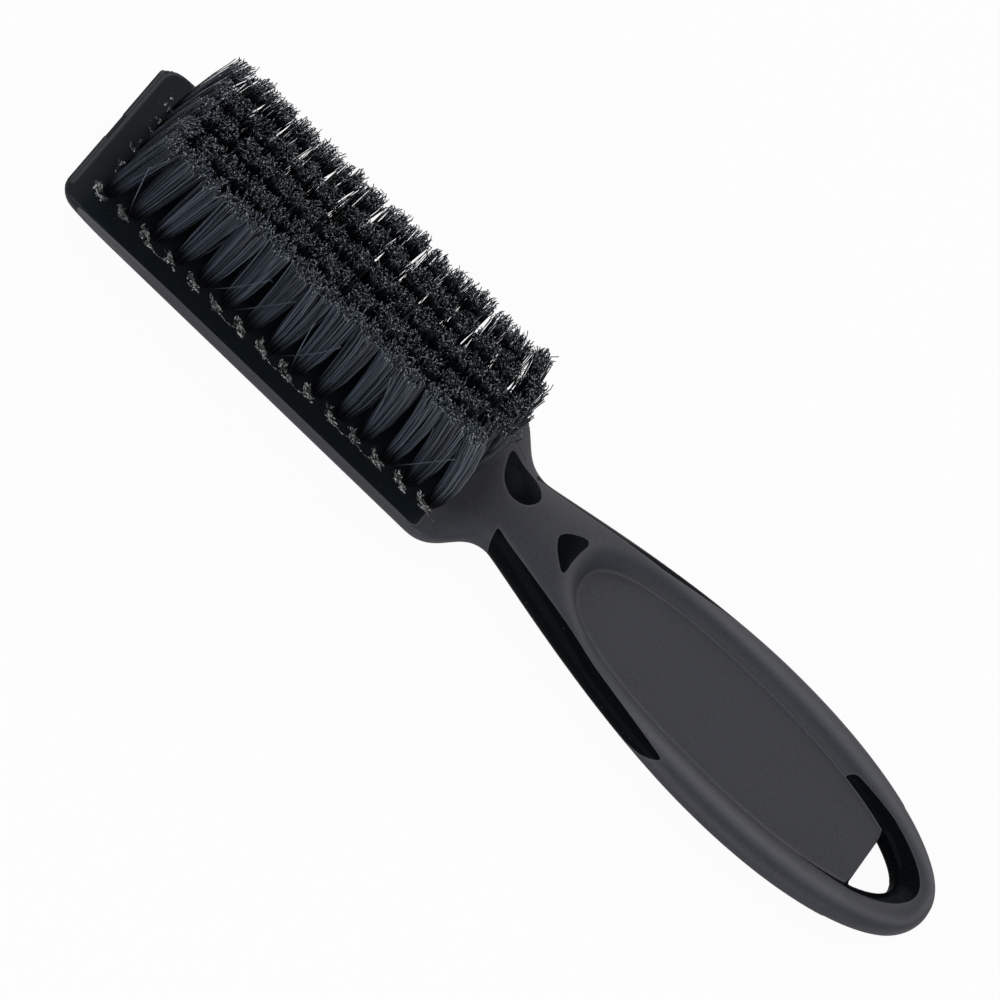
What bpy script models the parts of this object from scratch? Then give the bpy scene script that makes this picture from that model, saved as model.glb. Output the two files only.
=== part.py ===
"""Fade brush: a gloss body, a rubber grip moulded over it and fifteen cross rows of bristle tufts.

X runs from the head's end to the handle's tip, Y goes across and Z up along the bristles.
The origin lies under the middle of the brush. All lengths are in metres.
"""

import math
import random

import bmesh
import bpy
from mathutils import Matrix, Vector

MM = 0.001

# Plan outline, from the head's end to the tip
LENGTH = 203 * MM
HEAD_WIDTH = 36.8 * MM
HEAD_CORNER = 3 * MM
SHOULDER_FROM_END = 85.5 * MM  # where the head starts to draw in
NECK_FROM_END = 99.7 * MM  # the narrowest place
NECK_WIDTH = 18 * MM
SHOULDER_BEND = 7.5 * MM  # how far the shoulder runs on straight before it bends in
NECK_BEND = 6.7 * MM  # how far it then runs along the neck
WIDEST_FROM_TIP = 45.5 * MM
HANDLE_WIDTH = 37.85 * MM
FLANK_START = (3.8 * MM, 0.4 * MM)  # along and across: how the flank leaves the neck
FLANK_BEND = 26 * MM  # how far it runs along the widest place
TIP_ROUNDNESS = 2.1  # exponent of the outline round the tip

# Side profile
FACE_HEIGHT = 7.4 * MM
FACE_EDGE_RADIUS = 0.8 * MM
RIM_HEIGHT = 2.2 * MM  # upright part of the head's side
BACK_LAND_SINK = 0.6 * MM  # how far the curved back is cut flat
BACK_ROUNDNESS = 2.4
END_ROUNDING = 14 * MM  # length over which the back rises to the rim at the head's end
FACE_FROM_END = 87.7 * MM  # length of the bare face
NECK_MIDDLE_HEIGHT = 6.4 * MM
TIP_MIDDLE_HEIGHT = 4.4 * MM
MIDDLE_SINK = 1.8  # exponent of the way the middle sinks towards the tip
NECK_THICKNESS = 9.8 * MM
TIP_THICKNESS = 8.8 * MM
TIP_EDGE_RADIUS = 4.2 * MM
HANDLE_ROUNDNESS = 2.3  # exponent of the handle's cross section

# Rubber over the body
RUBBER = 1.1 * MM
RUBBER_GAP = 0.2 * MM
GRIP_FROM_END = 4.5 * MM
LIP_TAPER = 22 * MM  # length over which the lip beside the face grows to its full width
LIP_START = 0.45  # its share of the rubber's thickness at the head's end

# Oval recess with the hang hole at its far end
OVAL_FROM_NECK = 16.2 * MM
OVAL_FROM_TIP = 7.5 * MM
OVAL_WIDTH = 23 * MM
WEB_THICKNESS = 3.7 * MM
WEB_RISE = 0.8 * MM  # its upper face above the middle of the ring
WEB_TILT = math.radians(0.7)
CUT_FROM_TIP = 15.85 * MM  # the straight end of the web
RECESS_PROFILE = ((0, 0), (1.4, 1.0), (2.6, 1.7), (7, 2.9))  # height and outward offset in mm
BARE_RING_LENGTH = 21 * MM  # length of ring whose inner wall has no rubber
BARE_RING_STEP = 0.25 * MM
BARE_RING_REACH = (3.3 * MM, 1.6 * MM)  # past the oval at the tip and at its sides

# Windows in the rubber, in mm from the neck's narrowest place: two plan outlines and one seen from the side
LEAF_WINDOW = ((-8.4, 8.6), (-4.9, 7.9), (-1.0, 6.1), (0.5, 3.4), (0.1, 1.2), (-1.3, -0.4), (-3.4, -0.7),
               (-5.3, 0.4), (-7.3, 3.3))
WEDGE_WINDOW = ((7.2, 0.0), (8.4, 2.1), (11.4, 4.2), (12.5, 3.8), (12.2, 1.2), (12.0, -1.6), (12.1, -4.2),
                (11.3, -4.7), (8.6, -2.5))
SIDE_WINDOW = ((-3.2, 13), (-2.0, 9.2), (-0.3, 5.5), (0.4, 2.9), (22, 3.0), (34.6, 3.9), (43.3, 5.6),
               (47.3, 7.2), (50, 13))
SIDE_WINDOW_TOP = 7.7 * MM  # its upper edge lies this far from the middle plane at the neck
SIDE_WINDOW_SPREAD = 0.2025  # and draws away from that plane at this slope

# Bristles
COLUMNS = 15
ROWS = 5
COLUMN_PITCH = 5.62 * MM
ROW_PITCH = 5.75 * MM
FIRST_COLUMN_FROM_END = 7.1 * MM
BRISTLE_LENGTH = 24.3 * MM
SHORTEST_BRISTLE = 0.96  # share of the full length
STRANDS_PER_TUFT = 5
STRAND_RADIUS = 0.28 * MM
STRAND_TIP_RADIUS = 0.17 * MM
TUFT_BASE_RADIUS = 0.62 * MM
TUFT_TIP_RADIUS = 2 * MM
TUFT_LEAN = 0.8 * MM  # of every tip towards the head's end
LAST_TUFT_LEAN = 3.4 * MM  # more lean, growing towards the neck
STRIP_WIDTH = 2.2 * MM
STRIP_THICKNESS = 1 * MM
STRIP_OVERHANG = 1.5 * MM  # of the strip past its outer tufts
STRIP_GAP = 0.3 * MM
ROOT_RADIUS = 0.85 * MM
ROOT_DEPTH = 2.8 * MM  # below the strip
BITE = 0.4 * MM  # how far strands and roots run into the strip

AROUND = 24  # points round a section, a multiple of four
LEAST_RADIUS = 0.4 * MM  # of the small flat that closes a form's end
ABOVE = 20 * MM  # cutters start and end well outside the brush
BODY_REACH = 3 * MM  # the grip's core cutter stands this far out of the bare face
WELD = 0.001 * MM
SHARP_ANGLE = math.radians(35)
SEED = 7

HEAD_END = -LENGTH / 2
TIP = LENGTH / 2
SHOULDER = HEAD_END + SHOULDER_FROM_END
NECK = HEAD_END + NECK_FROM_END
WIDEST = TIP - WIDEST_FROM_TIP
FACE_END = HEAD_END + FACE_FROM_END
GRIP_START = HEAD_END + GRIP_FROM_END
OVAL_LENGTH = TIP - OVAL_FROM_TIP - (NECK + OVAL_FROM_NECK)
OVAL_MIDDLE = TIP - OVAL_FROM_TIP - OVAL_LENGTH / 2
CUT = TIP - CUT_FROM_TIP
BODY_INSET = RUBBER + RUBBER_GAP


# ---------------------------------------------------------------- scene helpers

def clear_scene():
    for obj in list(bpy.data.objects):
        bpy.data.objects.remove(obj, do_unlink=True)


def new_collection(name):
    collection = bpy.data.collections.new(name)
    bpy.context.scene.collection.children.link(collection)
    return collection


def make_material(name, colour, roughness, metallic=0.0):
    material = bpy.data.materials.new(name)
    material.use_nodes = True
    shader = material.node_tree.nodes["Principled BSDF"]
    shader.inputs["Base Color"].default_value = (*colour, 1)
    shader.inputs["Roughness"].default_value = roughness
    shader.inputs["Metallic"].default_value = metallic
    material.diffuse_color = (*colour, 1)
    return material


def object_from(bm, name, collection, material=None):
    bmesh.ops.recalc_face_normals(bm, faces=bm.faces)
    mesh = bpy.data.meshes.new(name)
    bm.to_mesh(mesh)
    bm.free()
    mesh.shade_smooth()
    mesh.set_sharp_from_angle(angle=SHARP_ANGLE)
    obj = bpy.data.objects.new(name, mesh)
    collection.objects.link(obj)
    if material:
        mesh.materials.append(material)
    if collection is cutters:
        obj.hide_render = True
        obj.display_type = "WIRE"
    return obj


def boolean(target, other, operation):
    modifier = target.modifiers.new(f"{operation.lower()} {other.name}", "BOOLEAN")
    modifier.operation = operation
    modifier.object = other
    modifier.solver = "EXACT"


def loft(name, rings, collection, material=None):
    """Skin a row of closed rings with the same number of points and close both ends."""
    bm = bmesh.new()
    rows = [[bm.verts.new(point) for point in ring] for ring in rings]
    count = len(rows[0])
    for row, following in zip(rows, rows[1:]):
        for i in range(count):
            j = (i + 1) % count
            bm.faces.new((row[i], row[j], following[j], following[i]))
    bm.faces.new(rows[0])
    bm.faces.new(rows[-1])
    return object_from(bm, name, collection, material)


def prism(name, outline, start, end):
    """Cutter that stands a plan outline (x, y) up from height start to height end."""
    curve = bpy.data.curves.new(name, "CURVE")
    curve.dimensions = "2D"
    curve.fill_mode = "BOTH"
    curve.extrude = (end - start) / 2
    spline = curve.splines.new("POLY")
    spline.points.add(len(outline) - 1)
    for point, (x, y) in zip(spline.points, outline):
        point.co = (x, y, 0, 1)
    spline.use_cyclic_u = True
    guide = bpy.data.objects.new(name, curve)
    bm = bmesh.new()
    bm.from_mesh(bpy.data.meshes.new_from_object(guide))
    bmesh.ops.remove_doubles(bm, verts=bm.verts, dist=WELD)
    bmesh.ops.translate(bm, verts=bm.verts, vec=(0, 0, (start + end) / 2))
    bpy.data.objects.remove(guide)
    return object_from(bm, name, cutters)


def box_into(bm, low, high):
    low, high = Vector(low), Vector(high)
    size = high - low
    matrix = Matrix.Translation((low + high) / 2) @ Matrix.Diagonal((*size, 1))
    bmesh.ops.create_cube(bm, size=1, matrix=matrix)


def smoothstep(value):
    value = min(1, max(0, value))
    return value * value * (3 - 2 * value)


def power(value, exponent):
    return math.copysign(abs(value) ** exponent, value)


def bezier(points, t):
    """Point at t on the cubic curve of four (x, y) points."""
    weights = ((1 - t) ** 3, 3 * t * (1 - t) ** 2, 3 * t * t * (1 - t), t ** 3)
    return tuple(sum(w * p[axis] for w, p in zip(weights, points)) for axis in (0, 1))


def curve_height(points, x):
    """Height at x on a cubic curve that always runs forwards."""
    low, high = 0, 1
    for _ in range(30):
        t = (low + high) / 2
        if bezier(points, t)[0] < x:
            low = t
        else:
            high = t
    return bezier(points, high)[1]


# ---------------------------------------------------------------- outer form

def half_width(x):
    """Half of the brush's width at x."""
    half_head, half_neck, half_handle = HEAD_WIDTH / 2, NECK_WIDTH / 2, HANDLE_WIDTH / 2
    if x < HEAD_END + HEAD_CORNER:
        to_side = HEAD_CORNER - (x - HEAD_END)
        return half_head - HEAD_CORNER + math.sqrt(HEAD_CORNER ** 2 - to_side ** 2)
    if x <= SHOULDER:
        return half_head
    if x < NECK:
        bend = ((SHOULDER, half_head), (SHOULDER + SHOULDER_BEND, half_head),
                (NECK - NECK_BEND, half_neck), (NECK, half_neck))
        return curve_height(bend, x)
    if x < WIDEST:
        flank = ((NECK, half_neck), (NECK + FLANK_START[0], half_neck + FLANK_START[1]),
                 (WIDEST - FLANK_BEND, half_handle), (WIDEST, half_handle))
        return curve_height(flank, x)
    along = (x - WIDEST) / (TIP - WIDEST)
    return half_handle * max(0, 1 - along ** TIP_ROUNDNESS) ** (1 / TIP_ROUNDNESS)


def places_between(start, end, count):
    """Evenly spaced places after start, up to and with end."""
    return [start + (end - start) * step / count for step in range(1, count + 1)]


def stations():
    """Places along the brush, closest where its outline turns."""
    corner = [HEAD_END + HEAD_CORNER * (1 - math.cos(math.radians(turn))) for turn in (0, 25, 50, 90)]
    lip_end = GRIP_START + LIP_TAPER
    side = [GRIP_START - RUBBER_GAP, GRIP_START]
    side += places_between(GRIP_START, lip_end, 4) + places_between(lip_end, SHOULDER, 2)
    shoulder = [FACE_END - RUBBER_GAP, FACE_END] + places_between(FACE_END, NECK, 7)
    flank = places_between(NECK, WIDEST, 8)
    tip = [WIDEST + (TIP - WIDEST) * math.sin(math.radians(turn)) for turn in (16, 32, 46, 58, 68, 76, 82, 90)]
    return corner + side + shoulder + flank + tip


def middle_height(x):
    """Height of the handle's middle surface, which sinks towards the tip."""
    share = min(1, max(0, TIP - x) / (TIP - FACE_END))
    return TIP_MIDDLE_HEIGHT + (NECK_MIDDLE_HEIGHT - TIP_MIDDLE_HEIGHT) * share ** MIDDLE_SINK


def half_thickness(x):
    share = smoothstep((x - NECK) / (WIDEST - NECK))
    half = (NECK_THICKNESS + (TIP_THICKNESS - NECK_THICKNESS) * share) / 2
    past = max(0, x - (TIP - TIP_EDGE_RADIUS)) / TIP_EDGE_RADIUS
    return half * math.sqrt(max(0, 1 - past ** 2))


def handle_section(x, width, inset):
    """Rounded section of the neck and handle."""
    half = max(LEAST_RADIUS, half_thickness(x) - inset)
    points = []
    for step in range(AROUND):
        turn = 2 * math.pi * step / AROUND
        y = width * power(math.cos(turn), 2 / HANDLE_ROUNDNESS)
        z = middle_height(x) + half * power(math.sin(turn), 2 / HANDLE_ROUNDNESS)
        points.append((y, z))
    return points


def face_edge(width, top):
    """Quarter of the head's section from its side up to the middle of its face."""
    rim = FACE_HEIGHT - RIM_HEIGHT
    radius = FACE_EDGE_RADIUS
    points = [(width, rim)]
    for turn in (0, math.pi / 4):
        points.append((width - radius * (1 - math.cos(turn)), top - radius * (1 - math.sin(turn))))
    flat = AROUND // 4 - len(points)
    return points + [((width - radius) * (1 - step / flat), top) for step in range(flat + 1)]


def back_curve(width, depth, lowest):
    """Quarter of the head's section from its side down to the middle of its back."""
    rim = FACE_HEIGHT - RIM_HEIGHT
    points = []
    for step in range(AROUND // 4 + 1):
        turn = math.pi / 2 * step / (AROUND // 4)
        y = width * power(math.cos(turn), 2 / BACK_ROUNDNESS)
        z = rim - depth * power(math.sin(turn), 2 / BACK_ROUNDNESS)
        points.append((y, max(lowest, z)))
    return points


def head_section(x, width, top, inset):
    """Flat face, small edge radius, upright rim and a curved back with a flat land."""
    from_end = x - HEAD_END
    if from_end < FACE_EDGE_RADIUS:
        top -= FACE_EDGE_RADIUS - math.sqrt(FACE_EDGE_RADIUS ** 2 - (FACE_EDGE_RADIUS - from_end) ** 2)
    share = min(1, from_end / END_ROUNDING)
    reach = (1 - (1 - share) ** BACK_ROUNDNESS) ** (1 / BACK_ROUNDNESS)
    over = face_edge(width, top)
    under = back_curve(width, (FACE_HEIGHT - RIM_HEIGHT + BACK_LAND_SINK - inset) * reach, inset)
    across = [(-y, z) for y, z in reversed(over)]
    back = [(-y, z) for y, z in under]
    return over[:-1] + across[:-1] + back[:-1] + under[:0:-1]


def lip_share(x):
    """Share of the rubber's thickness that the lip has beside the face."""
    return LIP_START + (1 - LIP_START) * min(1, max(0, x - GRIP_START) / LIP_TAPER)


def brush_ring(x, side_inset=0, top_inset=0, back_inset=0, tip_inset=0):
    """One closed ring of the brush's form at x, drawn in by the insets."""
    width = max(LEAST_RADIUS, half_width(x) - side_inset)
    section = head_section(x, width, FACE_HEIGHT - top_inset, back_inset)
    share = smoothstep((x - FACE_END) / (NECK - FACE_END))
    if share > 0:
        handle = handle_section(x, width, back_inset)
        section = [tuple(a + (b - a) * share for a, b in zip(p, q)) for p, q in zip(section, handle)]
    along = max(0, (x - WIDEST) / (TIP - WIDEST))
    return [(x - tip_inset * along, y, z) for y, z in section]


def outer_form(name, collection, start=HEAD_END):
    return loft(name, [brush_ring(x) for x in stations() if x >= start], collection)


def inner_form(name, collection, inset, open_face):
    """The body's form under the rubber; with open_face it reaches up past the bare face."""
    rings = []
    for x in stations():
        covered = open_face or x >= GRIP_START
        side = inset * lip_share(x) if covered else 0
        back = inset if covered else 0
        top = inset
        if x < FACE_END:
            top = -BODY_REACH if open_face else 0
        rings.append(brush_ring(x, side, top, back, inset))
    return loft(name, rings, collection)


# ---------------------------------------------------------------- openings in the form

def ellipse(half_length, half_width, height, steps=48):
    turns = [2 * math.pi * step / steps for step in range(steps)]
    return [(half_length * math.cos(t), half_width * math.sin(t), height) for t in turns]


def recess_cutter(name, sink, side):
    """Flared oval bowl over the web: side is 1 for the upper face and -1 for the back."""
    rings = []
    for height, offset in RECESS_PROFILE:
        grown = offset * MM + sink
        rings.append(ellipse(OVAL_LENGTH / 2 + grown, OVAL_WIDTH / 2 + grown, side * height * MM))
    bowl = loft(name, rings, cutters)
    floor = WEB_RISE if side > 0 else WEB_RISE - WEB_THICKNESS
    bowl.location = (OVAL_MIDDLE, 0, middle_height(OVAL_MIDDLE) + floor - side * sink)
    bowl.rotation_euler = (0, WEB_TILT, 0)
    return bowl


def hang_hole(name, grown):
    """Rounded triangle between the web's straight end and the ring."""
    half_length, half_width = OVAL_LENGTH / 2 + grown, OVAL_WIDTH / 2 + grown
    limit = math.acos((CUT - OVAL_MIDDLE) / half_length)
    steps = 16
    turns = [limit * (2 * step / steps - 1) for step in range(steps + 1)]
    outline = [(OVAL_MIDDLE + half_length * math.cos(t), half_width * math.sin(t)) for t in turns]
    return prism(name, outline, -ABOVE, ABOVE)


def bare_ring(name, grown):
    """Horseshoe round the hang hole where the body's gloss wall shows."""
    half_length, half_width = OVAL_LENGTH / 2, OVAL_WIDTH / 2
    start = TIP - OVAL_FROM_TIP - BARE_RING_LENGTH - grown
    steps = 20
    outer = (half_length + BARE_RING_REACH[0] + grown, half_width + BARE_RING_REACH[1] + grown)
    inner = (half_length + BARE_RING_STEP - grown, half_width + BARE_RING_STEP - grown)
    outline = []
    for (length, width), order in ((outer, range(steps + 1)), (inner, range(steps, -1, -1))):
        limit = math.acos((start - OVAL_MIDDLE) / length)
        for step in order:
            turn = limit * (2 * step / steps - 1)
            outline.append((OVAL_MIDDLE + length * math.cos(turn), width * math.sin(turn)))
    return prism(name, outline, -ABOVE, ABOVE)


def grown_outline(outline, grown):
    """Move every edge of a closed outline in mm outwards, and give the points in metres."""
    points = [Vector(point) * MM for point in outline]
    area = sum(a.cross(b) for a, b in zip(points, points[1:] + points[:1]))
    outwards = math.copysign(1, area)
    moved = []
    for i, point in enumerate(points):
        before = (point - points[i - 1]).normalized()
        after = (points[(i + 1) % len(points)] - point).normalized()
        normals = [Vector((edge.y, -edge.x)) * outwards for edge in (before, after)]
        mitre = (normals[0] + normals[1]) / (1 + normals[0].dot(normals[1]))
        moved.append(point + mitre * grown)
    return moved


def plan_window(name, outline, grown):
    """Window in the upper face, from an outline in mm counted from the neck."""
    points = [(NECK + x, y) for x, y in grown_outline(outline, grown)]
    return prism(name, points, middle_height(NECK), ABOVE)


def side_window(name, grown, side):
    """Long lens low on one side of the handle."""
    points = grown_outline(SIDE_WINDOW, grown)
    inside = [(NECK + x, side * (SIDE_WINDOW_TOP + SIDE_WINDOW_SPREAD * x - grown), z) for x, z in points]
    outside = [(NECK + x, side * 2 * ABOVE, z) for x, z in points]
    return loft(name, (inside, outside), cutters)


def window_set(suffix, grown):
    return [
        plan_window(f"leaf_window_{suffix}", LEAF_WINDOW, grown),
        plan_window(f"wedge_window_{suffix}", WEDGE_WINDOW, grown),
        side_window(f"near_window_{suffix}", grown, -1),
        side_window(f"far_window_{suffix}", grown, 1),
        bare_ring(f"bare_ring_{suffix}", grown),
    ]


# ---------------------------------------------------------------- tuft places

def column_x(column):
    return HEAD_END + FIRST_COLUMN_FROM_END + column * COLUMN_PITCH


def row_y(row):
    return (row - (ROWS - 1) / 2) * ROW_PITCH


def strip_half_length():
    return (ROWS - 1) / 2 * ROW_PITCH + STRIP_OVERHANG


def slots():
    """Slots in the face, one under each cross row's strip."""
    bm = bmesh.new()
    half = (STRIP_WIDTH / 2 + STRIP_GAP, strip_half_length() + STRIP_GAP)
    floor = FACE_HEIGHT - STRIP_THICKNESS - STRIP_GAP
    for column in range(COLUMNS):
        x = column_x(column)
        box_into(bm, (x - half[0], -half[1], floor), (x + half[0], half[1], ABOVE))
    return object_from(bm, "slot_cutter", cutters)


def blind_holes():
    """Drilled holes that take the tufts' roots."""
    bm = bmesh.new()
    bottom = FACE_HEIGHT - STRIP_THICKNESS - ROOT_DEPTH - STRIP_GAP
    top = FACE_HEIGHT - STRIP_THICKNESS / 2
    for column in range(COLUMNS):
        for row in range(ROWS):
            post_into(bm, column_x(column), row_y(row), ROOT_RADIUS + STRIP_GAP, bottom, top)
    return object_from(bm, "blind_hole_cutter", cutters)


def post_into(bm, x, y, radius, bottom, top):
    middle = Matrix.Translation((x, y, (bottom + top) / 2))
    bmesh.ops.create_cone(bm, cap_ends=True, segments=6, radius1=radius, radius2=radius,
                          depth=top - bottom, matrix=middle)


# ---------------------------------------------------------------- pieces

def make_body(material):
    """Gloss moulding: face, end and core, with lands that fill the windows in the rubber."""
    body = inner_form("body", parts, BODY_INSET, open_face=False)
    body.data.materials.append(material)
    for side in (1, -1):
        boolean(body, recess_cutter(f"body_recess_{side}", BODY_INSET, side), "DIFFERENCE")
    outer = outer_form("land_form", cutters)
    for side in (1, -1):
        boolean(outer, recess_cutter(f"land_recess_{side}", 0, side), "DIFFERENCE")
    for window in window_set("land", 0):
        land = outer.copy()
        land.name = window.name + "_block"
        cutters.objects.link(land)
        boolean(land, window, "INTERSECT")
        boolean(body, land, "UNION")
    boolean(body, hang_hole("hang_hole_cutter", 0), "DIFFERENCE")
    boolean(body, slots(), "DIFFERENCE")
    boolean(body, blind_holes(), "DIFFERENCE")
    return body


def make_grip(material):
    """Rubber moulded round the head's sides and back, the neck, the ring and the web."""
    grip = outer_form("grip", parts, start=GRIP_START)
    grip.data.materials.append(material)
    for side in (1, -1):
        boolean(grip, recess_cutter(f"grip_recess_{side}", 0, side), "DIFFERENCE")
    core = inner_form("grip_core_cutter", cutters, RUBBER, open_face=True)
    for side in (1, -1):
        boolean(core, recess_cutter(f"core_recess_{side}", RUBBER, side), "DIFFERENCE")
    boolean(grip, core, "DIFFERENCE")
    for window in window_set("opening", RUBBER_GAP):
        boolean(grip, window, "DIFFERENCE")
    boolean(grip, hang_hole("grip_hole_cutter", BARE_RING_STEP), "DIFFERENCE")
    return grip


def tuft_lean(column):
    """How far a tuft's tips stand towards the head's end from their base."""
    return TUFT_LEAN + LAST_TUFT_LEAN * (column / (COLUMNS - 1)) ** 4


def strand_into(bm, base, tip):
    """Three-sided strand, thinner at its tip."""
    along = tip - base
    turned = along.to_track_quat("Z", "Y").to_matrix().to_4x4()
    bmesh.ops.create_cone(bm, cap_ends=True, segments=3, radius1=STRAND_RADIUS, radius2=STRAND_TIP_RADIUS,
                          depth=along.length, matrix=Matrix.Translation((base + tip) / 2) @ turned)


def tuft_into(bm, x, y, lean, chance):
    """One strand in the middle and the others fanning out evenly round it."""
    first_turn = chance.uniform(0, 2 * math.pi)
    ring = STRANDS_PER_TUFT - 1
    outward = [Vector((0, 0, 0))]
    for strand in range(ring):
        turn = first_turn + 2 * math.pi * strand / ring
        outward.append(Vector((math.cos(turn), math.sin(turn), 0)))
    for out in outward:
        height = FACE_HEIGHT + BRISTLE_LENGTH * chance.uniform(SHORTEST_BRISTLE, 1)
        base = Vector((x, y, FACE_HEIGHT - BITE)) + out * TUFT_BASE_RADIUS
        tip = Vector((x - lean, y, height)) + out * TUFT_TIP_RADIUS
        strand_into(bm, base, tip)


def make_tuft_row(column, material):
    """One cross row: a strip of the face with five tufts above it and their roots below."""
    chance = random.Random(SEED + column)
    x = column_x(column)
    under = FACE_HEIGHT - STRIP_THICKNESS
    strip = bmesh.new()
    box_into(strip, (x - STRIP_WIDTH / 2, -strip_half_length(), under),
             (x + STRIP_WIDTH / 2, strip_half_length(), FACE_HEIGHT))
    row_object = object_from(strip, f"tuft_row_{column + 1:02}", parts, material)
    fibres = bmesh.new()
    for row in range(ROWS):
        tuft_into(fibres, x, row_y(row), tuft_lean(column), chance)
        post_into(fibres, x, row_y(row), ROOT_RADIUS, under - ROOT_DEPTH, under + BITE)
    boolean(row_object, object_from(fibres, f"tuft_fibres_{column + 1:02}", cutters), "UNION")
    return row_object


clear_scene()
parts = new_collection("Fade brush")
cutters = new_collection("Cutters")
make_body(make_material("Gloss black plastic", (0.012, 0.014, 0.016), 0.18))
make_grip(make_material("Dark grey rubber", (0.055, 0.056, 0.062), 0.6))
bristle = make_material("Black nylon bristle", (0.02, 0.024, 0.03), 0.35)
for number in range(COLUMNS):
    make_tuft_row(number, bristle)
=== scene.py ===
"""Looks of the fade brush: gloss body, soft rubber grip, nylon tufts, floor, light and camera.

X runs from the head's end to the handle's tip, Y goes across and Z up along the bristles.
Shapes are worked out in millimetres and become metres where a mesh is made.
"""

import math

import bmesh
import bpy
import numpy as np
from mathutils import Matrix, Vector


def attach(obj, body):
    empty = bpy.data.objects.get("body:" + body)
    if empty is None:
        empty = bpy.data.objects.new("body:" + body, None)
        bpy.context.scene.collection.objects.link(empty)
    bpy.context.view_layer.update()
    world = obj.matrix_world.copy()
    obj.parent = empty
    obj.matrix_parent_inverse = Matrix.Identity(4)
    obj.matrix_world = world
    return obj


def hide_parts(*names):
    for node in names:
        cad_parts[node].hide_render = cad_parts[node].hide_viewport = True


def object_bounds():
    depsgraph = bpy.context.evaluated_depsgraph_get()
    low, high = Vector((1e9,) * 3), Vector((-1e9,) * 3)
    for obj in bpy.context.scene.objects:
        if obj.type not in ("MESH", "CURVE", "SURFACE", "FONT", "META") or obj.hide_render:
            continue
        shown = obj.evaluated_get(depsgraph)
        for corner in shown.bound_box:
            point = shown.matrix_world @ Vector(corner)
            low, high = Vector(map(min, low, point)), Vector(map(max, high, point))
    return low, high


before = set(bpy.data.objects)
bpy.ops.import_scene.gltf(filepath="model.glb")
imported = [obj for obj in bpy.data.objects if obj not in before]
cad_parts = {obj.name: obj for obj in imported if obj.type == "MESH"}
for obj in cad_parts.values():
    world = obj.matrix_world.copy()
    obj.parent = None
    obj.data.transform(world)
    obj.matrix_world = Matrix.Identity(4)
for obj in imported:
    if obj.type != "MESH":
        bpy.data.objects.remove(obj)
cad_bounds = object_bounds()

MM = 0.001
SEED = 11

# Plan outline in mm; the ends come from the frame
HEAD_END = cad_bounds[0][0] / MM
TIP = cad_bounds[1][0] / MM
HANDLE_HALF = cad_bounds[1][1] / MM
HEAD_HALF = 18.4
HEAD_CORNER = 3.4  # radius of the end's corners in plan
SHOULDER = HEAD_END + 85.5
SHOULDER_EASE = (7.5, 6.7)  # how far its curve's inner control points stand from its ends
NECK = HEAD_END + 99.7
NECK_HALF = 9
WIDEST = TIP - 45.5
FLANK_EASE = (3.8, 26)  # the same for the curve from the neck to the widest place
FLANK_OPENING = 0.4  # how far its first control point has already opened
TIP_ROUNDNESS = 2.1
LEAST_HALF = 0.05  # keeps half widths and half heights above zero at the tip
FACE_END = HEAD_END + 87.0
GRIP_START = HEAD_END + 4.5  # where the rubber starts, past the bare end

# Side profile
FACE_HEIGHT = 7.4
RIM = 6.9  # height where the head's upright side meets its curved back
BACK_DEPTH = 7.5
BACK_ROUNDNESS = 2.3
BACK_RISE = 14  # length over which the back rises to the rim at the end
BACK_START = 0.002  # share of that length where the rise starts, so that the depth is never zero
FACE_EDGE = 0.35  # radius of the face's long edges
END_EDGE = 2.4  # radius of the edges at the head's end
SIDE_EDGE = 0.1  # what is left of it along the sides
END_FADE = 6  # length over which the first becomes the second
HANDLE_ROUNDNESS = 2.3
NECK_MIDDLE, TIP_MIDDLE = 6.4, 4.4
MIDDLE_SINK = 1.8  # exponent of the way the middle sinks towards the tip
NECK_HEIGHT, TIP_HEIGHT = 9.8, 8.8
TIP_EDGE = 4.2  # length over which the tip rounds off

# Oval recess and hang hole
OVAL_START = NECK + 16.2
OVAL_END = TIP - 7.5
OVAL_MIDDLE = (OVAL_START + OVAL_END) / 2
OVAL_HALF = ((OVAL_END - OVAL_START) / 2, 11.5)  # half its length and half its width
OVAL_START_ROUNDNESS = 2.5  # towards the neck it is blunter than an ellipse
WEB_END = TIP - 15.35
WEB_THICKNESS = 3.7
WEB_RISE = 0.8  # of the recess's floor over the handle's middle
WEB_SLOPE = math.tan(math.radians(0.7))
WALL_SLOPE = 0.8  # of the recess wall at its foot
WALL_EASE = 9  # distance over which the wall levels off to a quarter of that slope
WALL_START = 12  # length at the oval's start over which the wall is up to twice as steep
CREST_RADIUS = 2.2  # of the ridge round a recess
CREST_HIGHLIGHT_WIDTH = 1.5  # how far the painted highlight band reaches from the crest
CREST_HIGHLIGHT_LEAST = 0.3  # share of the painted highlight at the oval's start
CREST_HIGHLIGHT_START, CREST_HIGHLIGHT_GROWTH = 4, 26  # distance from there where it starts to grow, and over which it does
FOOT_HIGHLIGHT = (0.05, 0.28)  # where the painted highlight line at the wall's foot starts to fade and where it ends
FOOT_RADIUS = 0.35
HOLE_RADIUS = 1.1  # of the hole's edges
HOLE_REACH = (-0.5, 0.05)  # of the hole's wall beyond the recess's foot
HOLE_SHIFT = 0.3  # of the hole's wall towards +Y
WEB_END_EDGE = 0.35
WEB_FILLET = 0.4  # between the web and the ring

# Rubber and its windows
RUBBER = 1.2
PARTING_GAP = 0.05
LIP_WIDTH = 0.3  # of the rubber that shows round the flat face
LIP_RISE = 22  # length over which the rubber's edge climbs from the back up to the rim
LIP_CURVE = 0.5  # less than 1 makes that climb steepest at its start
FACE_CORNER = 2.6  # radius of the bare face's corners towards the neck
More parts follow.
